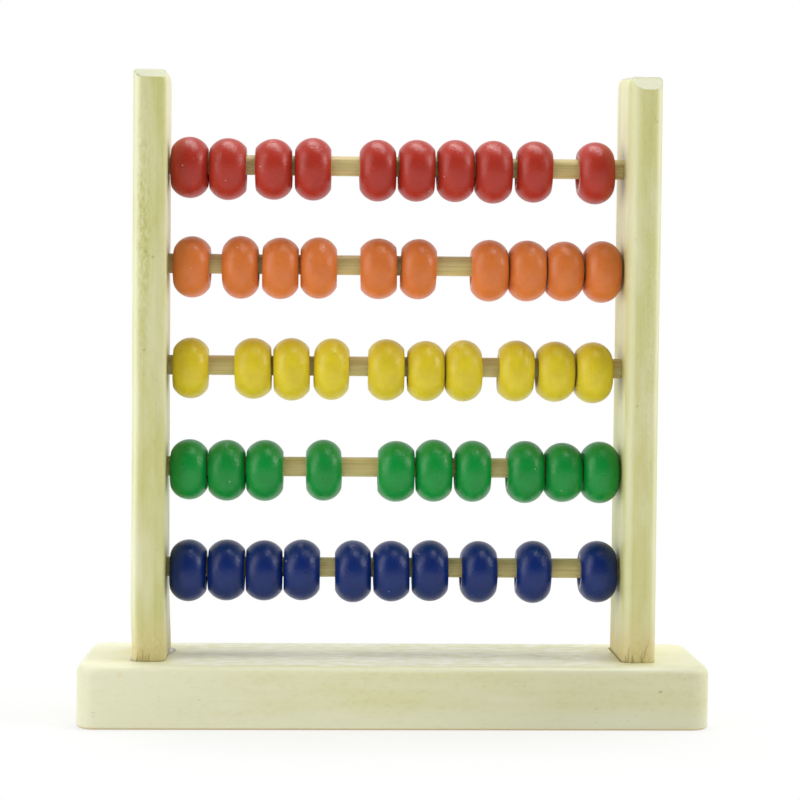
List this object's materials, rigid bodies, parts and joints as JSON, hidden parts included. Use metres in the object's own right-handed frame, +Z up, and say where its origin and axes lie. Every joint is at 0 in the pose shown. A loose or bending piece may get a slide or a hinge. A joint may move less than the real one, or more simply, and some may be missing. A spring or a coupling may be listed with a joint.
{
  "type": "wooden abacus",
  "caption": "Small standing wooden abacus: rows of painted round beads that slide on bamboo rods held between two uprights on a thick board base.",
  "frame": {"origin": "centre of the board's underside, on the surface that it stands on", "axes": "+X to the right along the rods, +Y to the back, +Z up along the uprights"},
  "size_m": [0.189, 0.044, 0.1952],
  "materials": {
    "frame_wood": "pale softwood, sanded, thin matt clear coat",
    "rod_bamboo": "split bamboo, bare",
    "red_paint": "turned wood, satin red paint",
    "orange_paint": "turned wood, satin orange paint",
    "yellow_paint": "turned wood, satin yellow paint",
    "green_paint": "turned wood, satin green paint",
    "blue_paint": "turned wood, satin dark blue paint"
  },
  "bodies": {
    "frame": {"board": "frame_wood", "left_upright": "frame_wood", "right_upright": "frame_wood", "red_rod": "rod_bamboo", "orange_rod": "rod_bamboo", "yellow_rod": "rod_bamboo", "green_rod": "rod_bamboo", "blue_rod": "rod_bamboo"},
    "red_bead_1": {"red_bead_1": "red_paint"},
    "red_bead_2": {"red_bead_2": "red_paint"},
    "red_bead_3": {"red_bead_3": "red_paint"},
    "red_bead_4": {"red_bead_4": "red_paint"},
    "red_bead_5": {"red_bead_5": "red_paint"},
    "red_bead_6": {"red_bead_6": "red_paint"},
    "red_bead_7": {"red_bead_7": "red_paint"},
    "red_bead_8": {"red_bead_8": "red_paint"},
    "red_bead_9": {"red_bead_9": "red_paint"},
    "red_bead_10": {"red_bead_10": "red_paint"},
    "orange_bead_1": {"orange_bead_1": "orange_paint"},
    "orange_bead_2": {"orange_bead_2": "orange_paint"},
    "orange_bead_3": {"orange_bead_3": "orange_paint"},
    "orange_bead_4": {"orange_bead_4": "orange_paint"},
    "orange_bead_5": {"orange_bead_5": "orange_paint"},
    "orange_bead_6": {"orange_bead_6": "orange_paint"},
    "orange_bead_7": {"orange_bead_7": "orange_paint"},
    "orange_bead_8": {"orange_bead_8": "orange_paint"},
    "orange_bead_9": {"orange_bead_9": "orange_paint"},
    "orange_bead_10": {"orange_bead_10": "orange_paint"},
    "yellow_bead_1": {"yellow_bead_1": "yellow_paint"},
    "yellow_bead_2": {"yellow_bead_2": "yellow_paint"},
    "yellow_bead_3": {"yellow_bead_3": "yellow_paint"},
    "yellow_bead_4": {"yellow_bead_4": "yellow_paint"},
    "yellow_bead_5": {"yellow_bead_5": "yellow_paint"},
    "yellow_bead_6": {"yellow_bead_6": "yellow_paint"},
    "yellow_bead_7": {"yellow_bead_7": "yellow_paint"},
    "yellow_bead_8": {"yellow_bead_8": "yellow_paint"},
    "yellow_bead_9": {"yellow_bead_9": "yellow_paint"},
    "yellow_bead_10": {"yellow_bead_10": "yellow_paint"},
    "green_bead_1": {"green_bead_1": "green_paint"},
    "green_bead_2": {"green_bead_2": "green_paint"},
    "green_bead_3": {"green_bead_3": "green_paint"},
    "green_bead_4": {"green_bead_4": "green_paint"},
    "green_bead_5": {"green_bead_5": "green_paint"},
    "green_bead_6": {"green_bead_6": "green_paint"},
    "green_bead_7": {"green_bead_7": "green_paint"},
    "green_bead_8": {"green_bead_8": "green_paint"},
    "green_bead_9": {"green_bead_9": "green_paint"},
    "green_bead_10": {"green_bead_10": "green_paint"},
    "blue_bead_1": {"blue_bead_1": "blue_paint"},
    "blue_bead_2": {"blue_bead_2": "blue_paint"},
    "blue_bead_3": {"blue_bead_3": "blue_paint"},
    "blue_bead_4": {"blue_bead_4": "blue_paint"},
    "blue_bead_5": {"blue_bead_5": "blue_paint"},
    "blue_bead_6": {"blue_bead_6": "blue_paint"},
    "blue_bead_7": {"blue_bead_7": "blue_paint"},
    "blue_bead_8": {"blue_bead_8": "blue_paint"},
    "blue_bead_9": {"blue_bead_9": "blue_paint"},
    "blue_bead_10": {"blue_bead_10": "blue_paint"}
  },
  "joints": [
    {"name": "red_bead_1_slide", "type": "slide", "parent": "frame", "child": "red_bead_1", "axis": [1, 0, 0], "range_m": [-0.0005, 0.0002]},
    {"name": "red_bead_2_slide", "type": "slide", "parent": "frame", "child": "red_bead_2", "axis": [1, 0, 0], "range_m": [-0.0002, 0.0026]},
    {"name": "red_bead_3_slide", "type": "slide", "parent": "frame", "child": "red_bead_3", "axis": [1, 0, 0], "range_m": [-0.0026, 0.0006]},
    {"name": "red_bead_4_slide", "type": "slide", "parent": "frame", "child": "red_bead_4", "axis": [1, 0, 0], "range_m": [-0.0006, 0.0083]},
    {"name": "red_bead_5_slide", "type": "slide", "parent": "frame", "child": "red_bead_5", "axis": [1, 0, 0], "range_m": [-0.0083, 0.0005]},
    {"name": "red_bead_6_slide", "type": "slide", "parent": "frame", "child": "red_bead_6", "axis": [1, 0, 0], "range_m": [-0.0005, 0.0005]},
    {"name": "red_bead_7_slide", "type": "slide", "parent": "frame", "child": "red_bead_7", "axis": [1, 0, 0], "range_m": [-0.0005, 0.0003]},
    {"name": "red_bead_8_slide", "type": "slide", "parent": "frame", "child": "red_bead_8", "axis": [1, 0, 0], "range_m": [-0.0003, 0.0012]},
    {"name": "red_bead_9_slide", "type": "slide", "parent": "frame", "child": "red_bead_9", "axis": [1, 0, 0], "range_m": [-0.0012, 0.0075]},
    {"name": "red_bead_10_slide", "type": "slide", "parent": "frame", "child": "red_bead_10", "axis": [1, 0, 0], "range_m": [-0.0075, 0.0027]},
    {"name": "orange_bead_1_slide", "type": "slide", "parent": "frame", "child": "orange_bead_1", "axis": [1, 0, 0], "range_m": [-0.0013, 0.0034]},
    {"name": "orange_bead_2_slide", "type": "slide", "parent": "frame", "child": "orange_bead_2", "axis": [1, 0, 0], "range_m": [-0.0034, 0.0008]},
    {"name": "orange_bead_3_slide", "type": "slide", "parent": "frame", "child": "orange_bead_3", "axis": [1, 0, 0], "range_m": [-0.0008, 0.0003]},
    {"name": "orange_bead_4_slide", "type": "slide", "parent": "frame", "child": "orange_bead_4", "axis": [1, 0, 0], "range_m": [-0.0003, 0.0069]},
    {"name": "orange_bead_5_slide", "type": "slide", "parent": "frame", "child": "orange_bead_5", "axis": [1, 0, 0], "range_m": [-0.0069, 0.0009]},
    {"name": "orange_bead_6_slide", "type": "slide", "parent": "frame", "child": "orange_bead_6", "axis": [1, 0, 0], "range_m": [-0.0009, 0.0103]},
    {"name": "orange_bead_7_slide", "type": "slide", "parent": "frame", "child": "orange_bead_7", "axis": [1, 0, 0], "range_m": [-0.0103, 0.0002]},
    {"name": "orange_bead_8_slide", "type": "slide", "parent": "frame", "child": "orange_bead_8", "axis": [1, 0, 0], "range_m": [-0.0002, 0.0002]},
    {"name": "orange_bead_9_slide", "type": "slide", "parent": "frame", "child": "orange_bead_9", "axis": [1, 0, 0], "range_m": [-0.0002, 0.0002]},
    {"name": "orange_bead_10_slide", "type": "slide", "parent": "frame", "child": "orange_bead_10", "axis": [1, 0, 0], "range_m": [-0.0002, 0.0004]},
    {"name": "yellow_bead_1_slide", "type": "slide", "parent": "frame", "child": "yellow_bead_1", "axis": [1, 0, 0], "range_m": [-0.0011, 0.0076]},
    {"name": "yellow_bead_2_slide", "type": "slide", "parent": "frame", "child": "yellow_bead_2", "axis": [1, 0, 0], "range_m": [-0.0076, 0.0004]},
    {"name": "yellow_bead_3_slide", "type": "slide", "parent": "frame", "child": "yellow_bead_3", "axis": [1, 0, 0], "range_m": [-0.0004, 0.0009]},
    {"name": "yellow_bead_4_slide", "type": "slide", "parent": "frame", "child": "yellow_bead_4", "axis": [1, 0, 0], "range_m": [-0.0009, 0.0053]},
    {"name": "yellow_bead_5_slide", "type": "slide", "parent": "frame", "child": "yellow_bead_5", "axis": [1, 0, 0], "range_m": [-0.0053, 0.0008]},
    {"name": "yellow_bead_6_slide", "type": "slide", "parent": "frame", "child": "yellow_bead_6", "axis": [1, 0, 0], "range_m": [-0.0008, 0.0002]},
    {"name": "yellow_bead_7_slide", "type": "slide", "parent": "frame", "child": "yellow_bead_7", "axis": [1, 0, 0], "range_m": [-0.0002, 0.0048]},
    {"name": "yellow_bead_8_slide", "type": "slide", "parent": "frame", "child": "yellow_bead_8", "axis": [1, 0, 0], "range_m": [-0.0048, 0.0008]},
    {"name": "yellow_bead_9_slide", "type": "slide", "parent": "frame", "child": "yellow_bead_9", "axis": [1, 0, 0], "range_m": [-0.0008, 0.0004]},
    {"name": "yellow_bead_10_slide", "type": "slide", "parent": "frame", "child": "yellow_bead_10", "axis": [1, 0, 0], "range_m": [-0.0004, 0.0026]},
    {"name": "green_bead_1_slide", "type": "slide", "parent": "frame", "child": "green_bead_1", "axis": [1, 0, 0], "range_m": [-0.0008, 0.0002]},
    {"name": "green_bead_2_slide", "type": "slide", "parent": "frame", "child": "green_bead_2", "axis": [1, 0, 0], "range_m": [-0.0002, 0.0002]},
    {"name": "green_bead_3_slide", "type": "slide", "parent": "frame", "child": "green_bead_3", "axis": [1, 0, 0], "range_m": [-0.0002, 0.0066]},
    {"name": "green_bead_4_slide", "type": "slide", "parent": "frame", "child": "green_bead_4", "axis": [1, 0, 0], "range_m": [-0.0066, 0.0108]},
    {"name": "green_bead_5_slide", "type": "slide", "parent": "frame", "child": "green_bead_5", "axis": [1, 0, 0], "range_m": [-0.0108, 0.0003]},
    {"name": "green_bead_6_slide", "type": "slide", "parent": "frame", "child": "green_bead_6", "axis": [1, 0, 0], "range_m": [-0.0003, 0.0006]},
    {"name": "green_bead_7_slide", "type": "slide", "parent": "frame", "child": "green_bead_7", "axis": [1, 0, 0], "range_m": [-0.0006, 0.0048]},
    {"name": "green_bead_8_slide", "type": "slide", "parent": "frame", "child": "green_bead_8", "axis": [1, 0, 0], "range_m": [-0.0048, 0.0002]},
    {"name": "green_bead_9_slide", "type": "slide", "parent": "frame", "child": "green_bead_9", "axis": [1, 0, 0], "range_m": [-0.0002, 0.0002]},
    {"name": "green_bead_10_slide", "type": "slide", "parent": "frame", "child": "green_bead_10", "axis": [1, 0, 0], "range_m": [-0.0002, 0.0002]},
    {"name": "blue_bead_1_slide", "type": "slide", "parent": "frame", "child": "blue_bead_1", "axis": [1, 0, 0], "range_m": [-0.0007, 0.0003]},
    {"name": "blue_bead_2_slide", "type": "slide", "parent": "frame", "child": "blue_bead_2", "axis": [1, 0, 0], "range_m": [-0.0003, 0.0002]},
    {"name": "blue_bead_3_slide", "type": "slide", "parent": "frame", "child": "blue_bead_3", "axis": [1, 0, 0], "range_m": [-0.0002, 0.0002]},
    {"name": "blue_bead_4_slide", "type": "slide", "parent": "frame", "child": "blue_bead_4", "axis": [1, 0, 0], "range_m": [-0.0002, 0.0043]},
    {"name": "blue_bead_5_slide", "type": "slide", "parent": "frame", "child": "blue_bead_5", "axis": [1, 0, 0], "range_m": [-0.0043, 0.0004]},
    {"name": "blue_bead_6_slide", "type": "slide", "parent": "frame", "child": "blue_bead_6", "axis": [1, 0, 0], "range_m": [-0.0004, 0.0006]},
    {"name": "blue_bead_7_slide", "type": "slide", "parent": "frame", "child": "blue_bead_7", "axis": [1, 0, 0], "range_m": [-0.0006, 0.0036]},
    {"name": "blue_bead_8_slide", "type": "slide", "parent": "frame", "child": "blue_bead_8", "axis": [1, 0, 0], "range_m": [-0.0036, 0.0056]},
    {"name": "blue_bead_9_slide", "type": "slide", "parent": "frame", "child": "blue_bead_9", "axis": [1, 0, 0], "range_m": [-0.0056, 0.0085]},
    {"name": "blue_bead_10_slide", "type": "slide", "parent": "frame", "child": "blue_bead_10", "axis": [1, 0, 0], "range_m": [-0.0085, 0.0005]}
  ]
}
